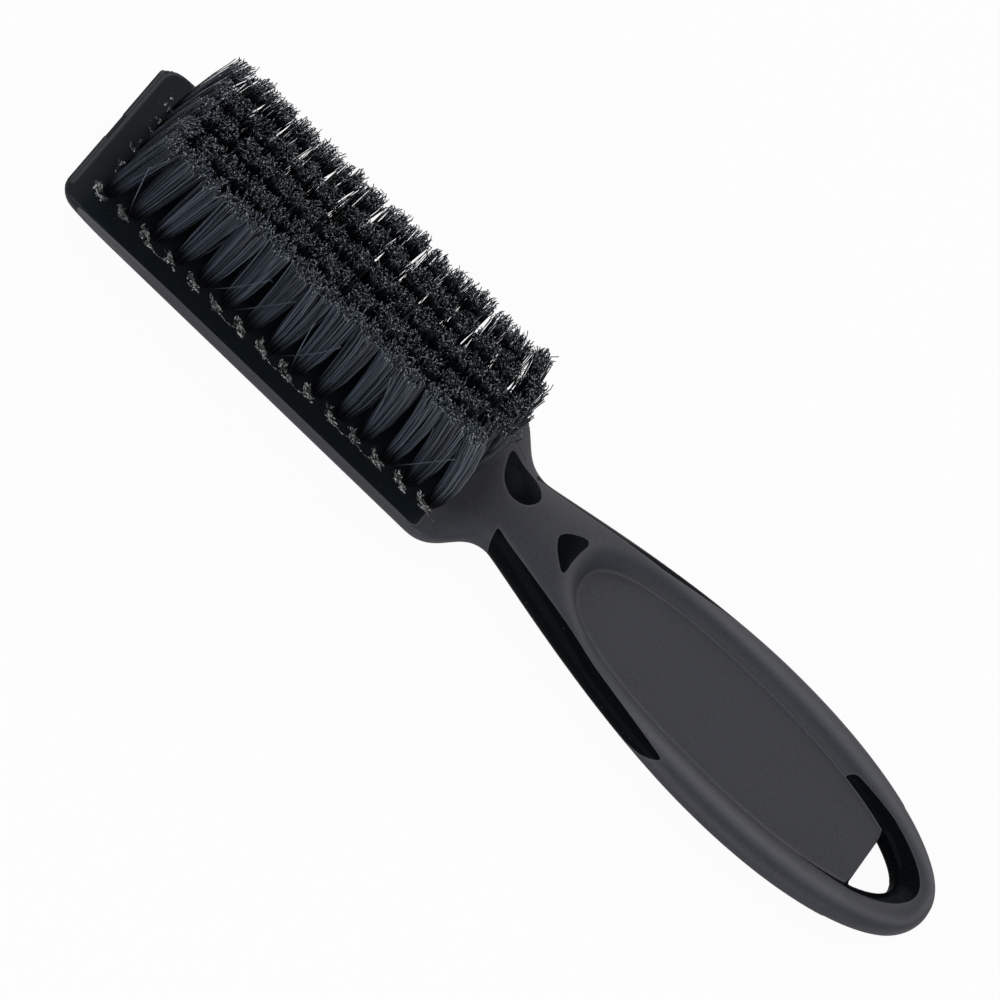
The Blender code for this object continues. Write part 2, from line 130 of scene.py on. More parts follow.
# Windows in the upper face as (along, across) from the neck, and the lens's edge as (along, height)
LEAF_WINDOW = ((-8.5, 8.4), (-5.2, 6.9), (-1.3, 5.5), (0.5, 3.3), (0.1, 1.2), (-1.3, -0.4), (-3.4, -0.7),
               (-5.3, 0.4), (-7.3, 3.3))
WEDGE_WINDOW = ((7.2, 0.0), (8.4, 2.1), (11.4, 4.2), (12.5, 3.8), (12.2, 1.2), (12.0, -1.6), (12.1, -4.2),
                (11.3, -4.7), (8.6, -2.5))
LENS_TOP_NEAR = (7.4, 0.2025)  # how far its upper edge lies from the middle at the neck, and its slope
LENS_TOP_FAR = (7.1, 0.235)
LENS_LOWER_EDGE = ((0, 1.6), (22, 1.8), (34.6, 3.1), (43.3, 5.3), (47.3, 7.2), (52, 11))
LENS_START, LENS_START_HEIGHT = -2.1, 9.1  # a place on its slanted starting edge, from the neck
LENS_START_SLANT = 0.47
LENS_CORNER = 0.5
LENS_TOP_SCALE, LENS_EDGE_SCALE = 0.8, 0.9  # bring what is measured upright or sideways near to a distance
CRESCENT_LENGTH = 19.8  # of the ring's bare inner wall, from the oval's end
CRESCENT_REACH = (3.3, 1.9)  # of its outer edge beyond the recess's foot, along and across
CRESCENT_CORNER = 1.5
CRESCENT_SLANT = 0.5  # of its starting edge
CRESCENT_TAPER = 11  # length over which it narrows to its start
CRESCENT_TAPER_SLOPE = 0.095
CRESCENT_SHIFT = 0.75  # of its outer edge towards +Y
WEB_END_STRIP = 0.45  # width of the bare strip at the web's end
WEB_CLEARANCE = 0.05  # between the rest of the web and the crescent

# Tufts
COLUMNS, ROWS = 15, 5
COLUMN_PITCH, ROW_PITCH = 5.62, 5.75
FIRST_COLUMN = HEAD_END + 7.1
NEAR_ROW = -(ROWS - 1) / 2 * ROW_PITCH
BRISTLE_TOP = cad_bounds[1][2] / MM
TOP_GAP, TOP_UNEVENNESS = 0.1, 0.4  # a tuft ends below the top by the first, and by up to the second more
ROOT_HEIGHT = FACE_HEIGHT - 0.4
TUFT_BASE = 1.3  # radius of a tuft where it leaves its hole
TUFT_FAN = np.array([2.88, 2.1])  # reach of a tuft's tips along and across the head
TUFT_SPREAD = 0.75  # less than 1 opens a tuft near its hole
END_TUFT_SHARE = 0.55  # of that reach along the head in the first and the last column
TUFT_DOME = 0.3  # how much lower its outermost filaments end

# Lean of a tuft's tips. Along the head, and negative towards its end: in the first column, its growth to
# the last one, and what comes on top near the last one with that part's exponent
NEAR_LEAN = (-0.3, -3.4, -1.5, 10)  # of the near row
FAR_LEAN = (0.1, -0.9, -3.2, 4)  # of the far row
FIRST_LEAN, FIRST_LEAN_FADE = 1.5, 10  # of the first columns towards the neck, and its exponent
SIDE_LEAN = (-0.2, -1.2, 3)  # across it: in the near row, its growth, and how fast it reaches its full size
LEAN_CURVE = 1.7  # more than 1 bends a filament higher up
LEAN_SCATTER = (0.3, 0.15)  # of whole tufts, along and across
UPRIGHT = (0, 0.8, 0.9, 0.8, 0)  # how far the last column's tufts stay upright, by row
UPRIGHT_FADE = 8  # exponent of the way this grows towards the last column

# Filaments
FILAMENTS = 120  # in a tuft
FILAMENT_SIDES = 3
FILAMENT_WIDTH = 0.215
WIDTH_SHARES = (0.8, 1.15)  # thinnest and thickest
FILAMENT_SHARES = np.array([0, 0.12, 0.35, 0.65, 0.9, 0.972, 1])  # places of its rings along a filament
FILAMENT_TIP_SPARKLE = np.array([0, 0, 0, 0, 0, 0.3, 1])  # how far each ring takes the painted sparkle of the curled tip
TIP_CURL = np.array([[0.08], [0.36]])  # sideways reach of a filament's last two rings
BOW = 0.18  # typical sideways bow at a filament's middle
FAN_SCATTER, TOP_SCATTER = 0.22, 0.18  # of single tips, sideways and in height
INNER_SHADE = (1, 0.25, 0.25, 0.25, 0.45)  # painted shade: how pale the filaments behind the first column are, by row, where the rows shade each other
SPRUNG_SHARE = 0.02  # of the filaments that spring out of their tuft
SPRUNG_FAN, SPRUNG_SCATTER, SPRUNG_DROP = 1.5, 1, 6  # how much wider, more scattered and lower they end
STRAY_SHARE = 0.5  # of the columns with a filament that crosses the near row
STRAY_REACH = (-5, 7)  # how far along the head it ends from its hole, one way or the other
STRAY_SIDE = -1.2  # how far outwards
STRAY_DROP = (4, 8)  # how far below the top
# Curves of two loose filaments over the neck, as (along from the last column, across, height)
NECK_HAIRS = (((0.2, -4.5, 12), (1.8, -6.1, 10.5), (4.4, -8.7, 10.5), (7.3, -9, 10.5)),
              ((1, 7, 15), (2.5, 9, 11.5), (4.5, 8.6, 11), (7.9, 7.2, 10.8)))
UPRIGHT_HAIRS = 9  # more loose ones, by the last column
HAIR_SIDE, HAIR_REACH, HAIR_TOP = (0, 8), (0.5, 4), (19, 27)  # places across and along, and height

# Scraps of torn plastic: the angles in degrees round a hole between which they lie, and their number
NEAR_SCRAPS = (190, 285, 26)
END_SCRAPS = (130, 230, 6)
SCRAP_REACH = (1.5, 2.9)  # from the hole's middle
SCRAP_RISE = 0.25  # over the face at most
SCRAP_SIZE = ((0.7, 1.9), (0.25, 0.7), (0.2, 0.9))  # length, width and height
SCRAP_TURN = 0.5  # typical angle off the rim's direction, in radians
SCRAP_SHIFT = -0.3  # of the near holes' scraps towards the head's end
FLAKE_SIDES = 6
FLAKE_SHARES = (0.6, 1.3)  # of its size that a flake's points reach
FLAKE_TWIST, FLAKE_PEAK = 0.4, 0.3  # typical rise of these points, and shift of its peak
RIBBON_SHARE = 0.55  # of the near holes with a torn ribbon beside them
RIBBON_LENGTH, RIBBON_STEP = COLUMN_PITCH * 0.9, 0.55
RIBBON_START, RIBBON_SIDE, RIBBON_RISE = -1, -2.7, 0.05  # from the hole's middle and the face
RIBBON_WAVE, RIBBON_WAVES = 0.2, 1.5  # its sway, and the sway's angle for each mm
RIBBON_SIZE, RIBBON_TURN = (0.9, 0.2, 0.35), 0.1  # of its flakes

# Meshes
OUTLINE_POINTS, TIP_POINTS = 120, 200
GRID_STEP = 0.52  # of the moulded surfaces
GRID_MARGIN = 1  # of the grid round them
SAME_SPOT = 0.002  # distance under which two points of them are one
SHARP_ANGLE = math.radians(40)

# Looks, in mm
HEAD_LOOK_FADE = 2  # length past the face over which the handle's look takes over
EDGE_SHINE = 0.45  # width of the paler edge along a parting line
ROOT_SHADE_HEIGHTS = (2, 8)  # heights over the face between which a filament's painted root shade gives way to its full colour

# Stage, in metres
FLOOR_GLOW = 0.95  # share of plain white that the camera sees in the floor
SKY_LEVEL = 0.45
WHITE = (1, 1, 1, 1)
FLOOR_HALF = 3
FLOOR_GAP = 0.0003  # below the brush
SOFTBOXES = (  # name, place, target, width and height, and power in watts
    ("Back softbox", (0.22, 0.95, 0.5), (0, 0, 0), (1.6, 0.6), 2.6),
    ("Front softbox", (-0.2, -1.1, 0.6), (0, 0, 0), (2.4, 1.1), 9),
    ("Left card", (-0.65, 0.75, 0.65), (-0.05, 0, 0), (0.7, 0.5), 1.8),
)
CAMERA_TARGET = Vector((-5.98, 1.14, 5.0)) * MM
CAMERA_DISTANCE = 1.5
CAMERA_AZIMUTH = math.radians(-13)
CAMERA_ELEVATION = math.radians(52)
CAMERA_ROLL = math.radians(54.3)
CAMERA_LENS, CAMERA_SENSOR = 305.1, 36  # in mm
CAMERA_CLIP = 0.1


# ---------------------------------------------------------------- shape of the moulding, in mm

def smoothstep(value):
    """0 below 0, 1 above 1 and smooth between."""
    value = np.clip(value, 0, 1)
    return value * value * (3 - 2 * value)


def round_max(a, b, radius):
    """The larger of two distances, with the edge between them rounded."""
    near = np.maximum(radius - np.abs(a - b), 0) / radius
    return np.maximum(a, b) + near * near * radius / 4


def round_min(a, b, radius):
    """The smaller of two distances, with the corner between them filled."""
    return -round_max(-a, -b, radius)


def bezier(points, count):
    """Points along the cubic curve of four points."""
    t = np.linspace(0, 1, count)[:, None]
    a, b, c, d = (np.array(point, float) for point in points)
    return a * (1 - t) ** 3 + b * 3 * t * (1 - t) ** 2 + c * 3 * t * t * (1 - t) + d * t ** 3


def make_outline():
    """(x, half width) closely spaced from the shoulder to the tip."""
    shoulder = bezier(((SHOULDER, HEAD_HALF), (SHOULDER + SHOULDER_EASE[0], HEAD_HALF),
                       (NECK - SHOULDER_EASE[1], NECK_HALF), (NECK, NECK_HALF)), OUTLINE_POINTS)
    flank = bezier(((NECK, NECK_HALF), (NECK + FLANK_EASE[0], NECK_HALF + FLANK_OPENING),
                    (WIDEST - FLANK_EASE[1], HANDLE_HALF), (WIDEST, HANDLE_HALF)), OUTLINE_POINTS)
    along = np.sin(np.linspace(0, math.pi / 2, TIP_POINTS))
    width = HANDLE_HALF * np.maximum(0, 1 - along ** TIP_ROUNDNESS) ** (1 / TIP_ROUNDNESS)
    tip = np.stack([WIDEST + (TIP - WIDEST) * along, width], axis=1)
    return np.concatenate([[[HEAD_END - 5, HEAD_HALF]], shoulder, flank[1:], tip[1:]])


OUTLINE = make_outline()


def half_width(x):
    """Half of the brush's width at x."""
    return np.maximum(np.interp(x, OUTLINE[:, 0], OUTLINE[:, 1]), LEAST_HALF)


def middle_height(x):
    """Height of the handle's middle at x."""
    share = np.clip((TIP - x) / (TIP - FACE_END), 0, 1)
    return TIP_MIDDLE + (NECK_MIDDLE - TIP_MIDDLE) * share ** MIDDLE_SINK


def half_thickness(x):
    """Half of the handle's height at x, rounded off at the tip."""
    share = smoothstep((x - NECK) / (WIDEST - NECK))
    past = np.clip((x - (TIP - TIP_EDGE)) / TIP_EDGE, 0, 1)
    half = (NECK_HEIGHT + (TIP_HEIGHT - NECK_HEIGHT) * share) / 2
    return np.maximum(half * np.sqrt(1 - past ** 2), LEAST_HALF)


def rounded_section(across, up, half_across, half_up, roundness):
    """Signed distance, close to the surface, from a superellipse."""
    a, b = np.abs(across) / half_across, np.abs(up) / half_up
    size = np.maximum((a ** roundness + b ** roundness) ** (1 / roundness), 1e-6)
    slope_a = (a / size) ** (roundness - 1) / half_across
    slope_b = (b / size) ** (roundness - 1) / half_up
    return (size - 1) / np.maximum(np.hypot(slope_a, slope_b), 1e-3)


def corner_distance(a, b, radius):
    """Signed distance from a quadrant corner with a rounded edge."""
    a, b = a + radius, b + radius
    return np.hypot(np.maximum(a, 0), np.maximum(b, 0)) + np.minimum(np.maximum(a, b), 0) - radius


def head_distance(x, y, z):
    """Head: flat face, upright sides and a curved back that rises to the rim at the end."""
    width = half_width(x)
    above = corner_distance(np.abs(y) - width, z - FACE_HEIGHT, FACE_EDGE)
    share = np.clip((x - HEAD_END) / BACK_RISE, BACK_START, 1)
    depth = BACK_DEPTH * (1 - (1 - share) ** BACK_ROUNDNESS) ** (1 / BACK_ROUNDNESS)
    below = np.maximum(rounded_section(y, z - RIM, width, depth, BACK_ROUNDNESS), -z)
    section = np.where(z > RIM, above, below)
    end = corner_distance(np.abs(y) - HEAD_HALF, HEAD_END - x, HEAD_CORNER)
    edge = SIDE_EDGE + (END_EDGE - SIDE_EDGE) * (1 - smoothstep((x - HEAD_END) / END_FADE))
    return round_max(section, end, edge)


def handle_distance(x, y, z):
    """Neck and handle with their rounded cross section."""
    return rounded_section(y, z - middle_height(x), half_width(x), half_thickness(x), HANDLE_ROUNDNESS)


def oval_distance(x, y, reach=(0, 0)):
    """Signed distance outwards from the recess's foot, or from a larger oval round it."""
    roundness = np.where(x < OVAL_MIDDLE, OVAL_START_ROUNDNESS, 2)
    return rounded_section(x - OVAL_MIDDLE, y, OVAL_HALF[0] + reach[0], OVAL_HALF[1] + reach[1], roundness)


def web_top(x):
    """Height of the recess's floor at x."""
    return middle_height(OVAL_MIDDLE) + WEB_RISE - WEB_SLOPE * (x - OVAL_MIDDLE)


def solid_distance(x, y, z):
    """Head and handle without the recesses and the hang hole."""
    share = smoothstep((x - FACE_END) / (NECK - FACE_END))
    return head_distance(x, y, z) * (1 - share) + handle_distance(x, y, z) * share


def recess_distances(x, y, z):
    """Distances below the upper recess's surface and above the lower one's."""
    outwards = oval_distance(x, y)
    climb = round_max(outwards, np.zeros_like(outwards), FOOT_RADIUS)
    ease = 1 + climb / WALL_EASE
    foot_slope = WALL_SLOPE * (1 + smoothstep((OVAL_START + WALL_START - x) / WALL_START))
    wall = climb * foot_slope / ease
    slope = np.where(outwards > 0, foot_slope / ease ** 2, 0)
    scale = 1 / np.sqrt(1 + slope ** 2)
    return (z - web_top(x) - wall) * scale, (web_top(x) - WEB_THICKNESS - wall - z) * scale


def moulding_distance(x, y, z):
    """The whole brush without its tufts: negative inside, zero on the surface."""
    solid = solid_distance(x, y, z)
    for recess in recess_distances(x, y, z):
        solid = round_max(solid, recess, CREST_RADIUS)
    ring = round_max(solid, -oval_distance(x, y - HOLE_SHIFT, HOLE_REACH), HOLE_RADIUS)
    web = round_max(solid, x - WEB_END, WEB_END_EDGE)
    return np.maximum(round_min(ring, web, WEB_FILLET), x - TIP)


def crest_highlight_share(x, y, z):
    """1 along the ridge round a recess and 0 past its band of painted highlight."""
    upper, lower = recess_distances(x, y, z)
    recess = np.minimum(np.abs(upper), np.abs(lower))
    crest_highlight = 1 - smoothstep(np.maximum(np.abs(solid_distance(x, y, z)), recess) / CREST_HIGHLIGHT_WIDTH)
    growth = smoothstep((x - OVAL_START - CREST_HIGHLIGHT_START) / CREST_HIGHLIGHT_GROWTH)
    return crest_highlight * (CREST_HIGHLIGHT_LEAST + (1 - CREST_HIGHLIGHT_LEAST) * growth)


# ---------------------------------------------------------------- where the gloss body shows

def smooth_loop(points, per_side=8):
    """Closed smooth curve through a few points."""
    points = np.array(points, float)
    loop = []
    for i in range(len(points)):
        before, start, end, after = (points[(i + k) % len(points)] for k in (-1, 0, 1, 2))
        square, cube = 2 * before - 5 * start + 4 * end - after, 3 * start - before - 3 * end + after
        for t in np.arange(per_side) / per_side:
            loop.append(0.5 * (2 * start + (end - before) * t + square * t ** 2 + cube * t ** 3))
    return np.array(loop)


def loop_distance(x, y, loop):
    """Signed distance in plan from a closed curve, negative inside."""
    nearest = np.full(x.shape, 1e9)
    inside = np.zeros(x.shape, bool)
    for (ax, ay), (bx, by) in zip(loop, np.roll(loop, -1, axis=0)):
        length = (bx - ax) ** 2 + (by - ay) ** 2
        t = np.clip(((x - ax) * (bx - ax) + (y - ay) * (by - ay)) / length, 0, 1)
        nearest = np.minimum(nearest, np.hypot(x - ax - t * (bx - ax), y - ay - t * (by - ay)))
        if ay != by:
            crosses = ((ay > y) != (by > y)) & (x < (bx - ax) * (y - ay) / (by - ay) + ax)
            inside ^= crosses
    return np.where(inside, -nearest, nearest)


def window_distance(x, y, z, outline):
    """Window in the upper face, from an outline counted from the neck."""
    loop = smooth_loop(outline) + [NECK, 0]
    return np.maximum(loop_distance(x, y, loop), middle_height(x) - z)


def lens_distance(x, y, z):
    """Long lens low on each side of the handle."""
    from_neck = x - NECK
    near = LENS_TOP_NEAR[0] + LENS_TOP_NEAR[1] * from_neck
    far = LENS_TOP_FAR[0] + LENS_TOP_FAR[1] * from_neck
    top = (np.where(y < 0, near, far) - np.abs(y)) * LENS_TOP_SCALE
    edge = np.array(LENS_LOWER_EDGE)
    bottom = (np.interp(from_neck, edge[:, 0], edge[:, 1]) - z) * LENS_EDGE_SCALE
    start = (LENS_START + LENS_START_SLANT * (LENS_START_HEIGHT - z) - from_neck) * LENS_EDGE_SCALE
    return round_max(round_max(top, bottom, LENS_CORNER), start, LENS_CORNER)


def crescent_distance(x, y):
    """Bare inner wall of the ring round the hang hole."""
    outwards = oval_distance(x, y)
    start = OVAL_END - CRESCENT_LENGTH - x + CRESCENT_SLANT * outwards
    taper = CRESCENT_TAPER_SLOPE * np.maximum(start + CRESCENT_TAPER, 0)
    outer = oval_distance(x, y - CRESCENT_SHIFT, CRESCENT_REACH) + taper
    web = np.where(x < WEB_END - WEB_END_STRIP, WEB_CLEARANCE - outwards, -1)
    return np.maximum(round_max(outer, start, CRESCENT_CORNER), web)


def face_distance(x, y, z):
    """Face and end of the head, down to the rubber's edge that climbs along the sides."""
    climb = np.clip((x - GRIP_START) / LIP_RISE, 0, 1)
    edge = RIM * climb ** LIP_CURVE
    side = np.maximum(edge - z, np.abs(y) - half_width(x) + LIP_WIDTH * climb)
    return np.minimum(corner_distance(side, x - FACE_END, FACE_CORNER), x - GRIP_START)


def gloss_distance(x, y, z):
    """Negative where the gloss body shows, positive on rubber, in mm from the parting line."""
    bare = face_distance(x, y, z)
    for other in (window_distance(x, y, z, LEAF_WINDOW), window_distance(x, y, z, WEDGE_WINDOW),
                  lens_distance(x, y, z), crescent_distance(x, y)):
        bare = np.minimum(bare, other)
    return bare


# ---------------------------------------------------------------- meshing

def slope_of(distance, points, step=0.02):
    """Outward direction and steepness of a distance at each point."""
    columns = []
    for axis in range(3):
        offset = np.zeros(3)
        offset[axis] = step
        columns.append(distance(*(points + offset).T) - distance(*(points - offset).T))
    return np.stack(columns, axis=1) / (2 * step)


def settle(distance, points, rounds=4, reach=0.3):
    """Move points onto the surface, each round by at most the reach."""
    for _ in range(rounds):
        slope = slope_of(distance, points)
        square = np.maximum((slope ** 2).sum(axis=1), 1e-4)
        move = -slope * (distance(*points.T) / square)[:, None]
        length = np.linalg.norm(move, axis=1, keepdims=True)
        points = points + move * np.minimum(1, reach / np.maximum(length, 1e-9))
    return points


def crossing_quads(inside, number, axis):
    """Quads round the grid's edges along one axis that cross the surface, all facing outwards."""
    here = [slice(1, -1)] * 3
    there = [slice(1, -1)] * 3
    here[axis] = slice(0, -1)
    there[axis] = slice(1, None)
    starts, ends = inside[tuple(here)], inside[tuple(there)]
    edges = np.argwhere(starts != ends)
    first, second = [k for k in range(3) if k != axis]
    corners = []
    for on_first, on_second in ((0, 0), (1, 0), (1, 1), (0, 1)):
        cell = edges.copy()
        cell[:, first] += on_first
        cell[:, second] += on_second
        corners.append(number[tuple(cell.T)])
    quads = np.stack(corners, axis=1)
    leaves = starts[tuple(edges.T)]  # whether the edge runs out of the solid
    backwards = leaves if axis == 1 else ~leaves
    quads[backwards] = quads[backwards][:, ::-1]
    return quads


def surface_net(distance, low, high, step):
    """Quads over the zero surface of a distance: one point in each grid cell that it passes through."""
    axes = [np.arange(start, end + step, step) for start, end in zip(low, high)]
    grid = np.meshgrid(*axes, indexing="ij")
    inside = distance(*grid) < 0
    shape = np.array(inside.shape) - 1
    count = np.zeros(shape, int)
    for dx, dy, dz in np.ndindex(2, 2, 2):
        count += inside[dx:dx + shape[0], dy:dy + shape[1], dz:dz + shape[2]]
    cells = np.argwhere((count > 0) & (count < 8))
    number = np.full(shape, -1)
    number[tuple(cells.T)] = np.arange(len(cells))
    points = np.array([axis[0] for axis in axes]) + (cells + 0.5) * step
    quads = [crossing_quads(inside, number, axis) for axis in range(3)]
    return settle(distance, points), np.concatenate(quads)


def split_triangles(points, triangles, values):
    """Cut the triangles along the zero line of the values at the points."""
    positive = values > 0
    mixed = positive[triangles].any(axis=1) & ~positive[triangles].all(axis=1)
    whole, cut = triangles[~mixed], triangles[mixed]
    sides = positive[cut]
    lone_sign = sides.sum(axis=1) == 1
    lone = np.argmax(sides == lone_sign[:, None], axis=1)
    a, b, c = (cut[np.arange(len(cut)), (lone + k) % 3] for k in range(3))
    edges = np.sort(np.concatenate([np.stack([a, b], 1), np.stack([a, c], 1)]), axis=1)
    unique, index = np.unique(edges, axis=0, return_inverse=True)
    index = index.reshape(-1) + len(points)
    share = values[unique[:, 0]] / (values[unique[:, 0]] - values[unique[:, 1]])
    middle = points[unique[:, 0]] * (1 - share[:, None]) + points[unique[:, 1]] * share[:, None]
    ab, ac = index[:len(cut)], index[len(cut):]
    tips = np.stack([a, ab, ac], axis=1)
    rests = np.concatenate([np.stack([ab, b, c], axis=1), np.stack([ab, c, ac], axis=1)])
    side = np.concatenate([positive[whole[:, 0]], positive[a], ~positive[a], ~positive[a]])
    return np.concatenate([points, middle]), np.concatenate([whole, tips, rests]), side


def border_edges(triangles):
    """Directed edges that only one triangle has."""
    edges = np.concatenate([triangles[:, [0, 1]], triangles[:, [1, 2]], triangles[:, [2, 0]]])
    _, index, counts = np.unique(np.sort(edges, axis=1), axis=0, return_index=True, return_counts=True)
    return edges[index[counts == 1]]


def shell_faces(outer, inner, border, count):
    """Faces of a closed shell whose inner points follow its count outer ones."""
    walls = np.stack([border[:, 0], border[:, 1], border[:, 1] + count, border[:, 0] + count], axis=1)
    return outer.tolist() + (inner + count).tolist() + walls.tolist()


def make_object(name, points, faces, material, smooth=True, attributes=None):
    """Mesh object from points in mm, with a number for each point in each attribute."""
    mesh = bpy.data.meshes.new(name)
    mesh.from_pydata((points * MM).tolist(), [], faces)
    mesh.materials.append(material)
    for label, values in (attributes or {}).items():
        mesh.attributes.new(label, "FLOAT", "POINT").data.foreach_set("value", np.asarray(values, np.float32))
    if smooth:
        mesh.shade_smooth()
        mesh.set_sharp_from_angle(angle=SHARP_ANGLE)
    obj = bpy.data.objects.new(name, mesh)
    bpy.context.scene.collection.objects.link(obj)
    return obj


def moulding_surface():
    """Points and triangles of the whole moulding, and which triangles are rubber."""
    low = np.array([HEAD_END, -HANDLE_HALF, 0]) - GRID_MARGIN
    high = np.array([TIP, HANDLE_HALF, NECK_MIDDLE + NECK_HEIGHT / 2]) + GRID_MARGIN
    points, quads = surface_net(moulding_distance, low, high, GRID_STEP)
    triangles = np.concatenate([quads[:, [0, 1, 2]], quads[:, [0, 2, 3]]])
    points, triangles, on_rubber = split_triangles(points, triangles, gloss_distance(*points.T))
    points = settle(moulding_distance, points, rounds=1)
    points = np.clip(points, np.array(cad_bounds[0]) / MM, np.array(cad_bounds[1]) / MM)
    return points, triangles, on_rubber


def make_moulding(gloss, rubber):
    """Gloss body and the rubber over it, cut from one surface along the parting lines."""
    points, triangles, on_rubber = moulding_surface()
    slope = slope_of(moulding_distance, points)
    outward = slope / np.linalg.norm(slope, axis=1, keepdims=True)
    parting = np.tile(np.abs(gloss_distance(*points.T)), 2)
    # painted highlight along the ridge round a recess, kept in the crest attribute
    crest = np.tile(crest_highlight_share(*points.T), 2)
    skin, bare = triangles[on_rubber], triangles[~on_rubber]
    border = border_edges(bare)
    sunk = points - outward * RUBBER
    body = make_object("gloss_body", np.concatenate([points, sunk]),
                       shell_faces(bare, skin, border[:, ::-1], len(points)), gloss,
                       attributes={"parting": parting})
    under = points - outward * (RUBBER - PARTING_GAP)
    grip = make_object("rubber_grip", np.concatenate([points, under]),
                       shell_faces(skin, skin[:, ::-1], border, len(points)), rubber,
                       attributes={"parting": parting, "crest": crest})
    for piece in (body, grip):
        clear_spare_points(piece)
    return body, grip


def clear_spare_points(piece):
    """Remove points that no face uses and join those that settled on the same spot of an edge."""
    bm = bmesh.new()
    bm.from_mesh(piece.data)
    bmesh.ops.delete(bm, geom=[vert for vert in bm.verts if not vert.link_faces], context="VERTS")
    bmesh.ops.remove_doubles(bm, verts=bm.verts, dist=SAME_SPOT * MM)
    bm.to_mesh(piece.data)
    bm.free()


# ---------------------------------------------------------------- tufts

def tube(path, width):
    """Points of a thin tube round a mostly upright path."""
    turns = np.arange(FILAMENT_SIDES) * 2 * math.pi / FILAMENT_SIDES
    circle = np.stack([np.cos(turns), np.sin(turns), np.zeros(FILAMENT_SIDES)], axis=1)
    return (path[:, None, :] + circle[None] * width / 2).reshape(-1, 3)


def tube_faces(rings, first):
    """Side quads and both ends of a tube whose points start at number first."""
    sides = FILAMENT_SIDES
    faces = []
    for ring in range(rings - 1):
        low, high = first + ring * sides, first + (ring + 1) * sides
        for side in range(sides):
            following = (side + 1) % sides
            faces.append((low + side, low + following, high + following, high + side))
    faces.append(tuple(first + side for side in reversed(range(sides))))
    faces.append(tuple(first + (rings - 1) * sides + side for side in range(sides)))
    return faces


def lean_along(along, lean):
    """Lean along the head of an outer row's tuft, at a share of the way to the last column."""
    first, growth, extra, exponent = lean
    return first + growth * along + extra * along ** exponent


def tuft_lean(column, row):
    """How far a tuft's tips stand from their hole, along and across the head."""
    along, across = column / (COLUMNS - 1), row / (ROWS - 1)
    near, far = lean_along(along, NEAR_LEAN), lean_along(along, FAR_LEAN)
    inwards = FIRST_LEAN * (1 - along) ** FIRST_LEAN_FADE
    start, growth, quickness = SIDE_LEAN
    return np.array([near + (far - near) * across + inwards, start + growth * min(1, quickness * across)])


def filament_path(base, fan, lean, top, chance):
    """Spreads from its hole at once, leans over higher up and curls at its tip."""
    share = FILAMENT_SHARES[:, None]
    path = np.empty((len(share), 3))
    path[:, :2] = base + fan * share ** TUFT_SPREAD + lean * share ** LEAN_CURVE
    path[:, :2] += chance.normal(0, BOW, 2) * np.sin(share * math.pi)
    path[-2:, :2] += chance.normal(0, 1, (2, 2)) * TIP_CURL
    path[:, 2] = ROOT_HEIGHT + (top - ROOT_HEIGHT) * share[:, 0]
    return path


def loose_hairs(x, chance):
    """Filaments of the last tufts, at x, that have come loose: two over the neck and some upright ones."""
    routes = [[(x + along, y, z) for along, y, z in hair] for hair in NECK_HAIRS]
    for _ in range(UPRIGHT_HAIRS):
        y, reach, top = (chance.uniform(*limits) for limits in (HAIR_SIDE, HAIR_REACH, HAIR_TOP))
        foot, end = x + 1, x + reach  # it stands straight up and bends near its top
        routes.append([(foot, y, FACE_HEIGHT), (foot, y, top - 5), (end, y, top - 3),
                       (end + chance.normal(0, 0.6), y + 0.5, top)])
    return [bezier(route, len(FILAMENT_SHARES)) for route in routes]


def stray_filament(base, chance):
    """A single filament that crosses its neighbours at a slant."""
    fan = np.array([chance.choice(STRAY_REACH), STRAY_SIDE])
    return filament_path(base, fan, np.zeros(2), BRISTLE_TOP - chance.uniform(*STRAY_DROP), chance)


def tuft_filament(centre, lean, top, narrow, upright, chance):
    """One filament of a tuft: now and then one springs out of it and ends lower."""
    angle, reach = chance.uniform(0, 2 * math.pi), math.sqrt(chance.uniform(0, 1))
    out = np.array([math.cos(angle), math.sin(angle)]) * reach
    fan = out * (TUFT_FAN - TUFT_BASE) * narrow + chance.normal(0, FAN_SCATTER, 2)
    height = top - abs(chance.normal(0, TOP_SCATTER)) - TUFT_DOME * reach ** 2
    bend = lean * (1 - upright * chance.uniform(0, 1))
    if chance.uniform(0, 1) < SPRUNG_SHARE:
        fan = fan * SPRUNG_FAN + chance.normal(0, SPRUNG_SCATTER, 2)
        height -= chance.uniform(0, SPRUNG_DROP)
    return filament_path(centre + out * TUFT_BASE, fan, bend, height, chance)


def row_strands(column, chance):
    """(path, shade, whether its tip gets the painted sparkle) of each filament in a cross row."""
    x = FIRST_COLUMN + column * COLUMN_PITCH
    narrow = np.array([END_TUFT_SHARE, 1]) if column in (0, COLUMNS - 1) else np.ones(2)
    strands = []
    for row in range(ROWS):
        centre = np.array([x, (row - (ROWS - 1) / 2) * ROW_PITCH])
        lean = tuft_lean(column, row) + chance.normal(0, LEAN_SCATTER)
        upright = UPRIGHT[row] * (column / (COLUMNS - 1)) ** UPRIGHT_FADE
        top = BRISTLE_TOP - TOP_GAP - chance.uniform(0, TOP_UNEVENNESS)
        # painted shade: inner rows darker, as the rows shade each other
        row_painted_shade = INNER_SHADE[row] if column else 1
        for _ in range(FILAMENTS):
            path = tuft_filament(centre, lean, top, narrow, upright, chance)
            strands.append((path, row_painted_shade * chance.uniform(0, 1), 1))
    if 0 < column < COLUMNS - 2 and chance.uniform(0, 1) < STRAY_SHARE:
        strands.append((stray_filament([x, NEAR_ROW - TUFT_BASE], chance), 1, 0))
    if column == COLUMNS - 1:
        strands += [(hair, 0, 0) for hair in loose_hairs(x, chance)]
    return strands


